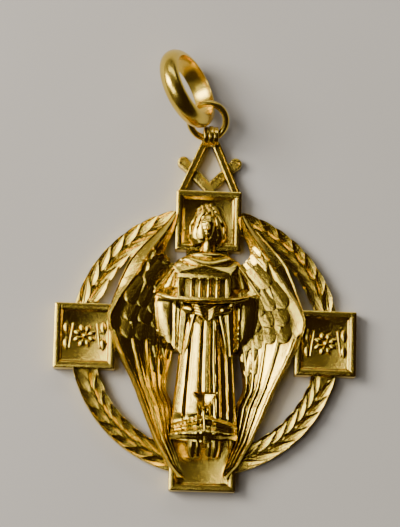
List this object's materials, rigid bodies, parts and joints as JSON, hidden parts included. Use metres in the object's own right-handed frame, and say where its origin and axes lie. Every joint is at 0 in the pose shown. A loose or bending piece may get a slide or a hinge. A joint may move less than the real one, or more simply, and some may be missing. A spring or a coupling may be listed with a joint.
{
  "type": "gilt masonic jewel with wreath, cross and winged figure",
  "caption": "Gilt lodge jewel lying flat: laurel wreath on a tablet cross, square and compasses, applied winged figure with a portico, jump ring and wide suspension ring.",
  "frame": {"origin": "middle of the laurel wreath, on the flat back of the jewel", "axes": "+Z out of the face, up as it lies; +Y from the figure's feet to the suspension ring; +X to the right as seen from the front"},
  "size_m": [0.0482, 0.0705, 0.0122],
  "materials": {
    "cast_gilt": "grainy cast gilding",
    "figure_gilt": "satin cast gilding",
    "polished_gilt": "polished gilding"
  },
  "bodies": {
    "root": {"frame": "cast_gilt", "winged_figure": "figure_gilt", "jump_ring": "polished_gilt", "suspension_ring": "polished_gilt"}
  },
  "joints": []
}
